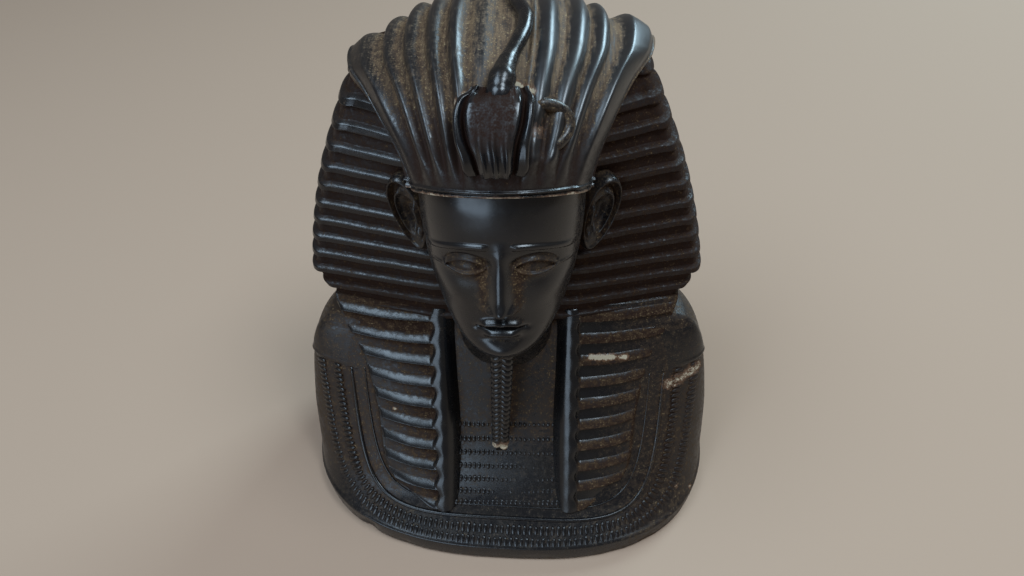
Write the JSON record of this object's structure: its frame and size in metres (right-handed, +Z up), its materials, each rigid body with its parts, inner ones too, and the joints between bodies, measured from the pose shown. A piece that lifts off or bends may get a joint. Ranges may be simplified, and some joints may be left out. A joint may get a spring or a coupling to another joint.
{
  "type": "pharaoh figurine",
  "caption": "Small cast bust of a pharaoh in a striped headcloth with a brow cobra, plaited beard and bead collar, standing on its flat underside.",
  "frame": {"origin": "on the flat underside, in the middle of the shoulders' width and below the middle of the headcloth", "axes": "+Z up, -Y the way the face looks, +X towards the viewer's right"},
  "size_m": [0.15, 0.1013, 0.1786],
  "materials": {
    "black_resin": "satin black paint over cast resin, worn and dusty"
  },
  "bodies": {
    "root": {"bust": "black_resin"}
  },
  "joints": []
}
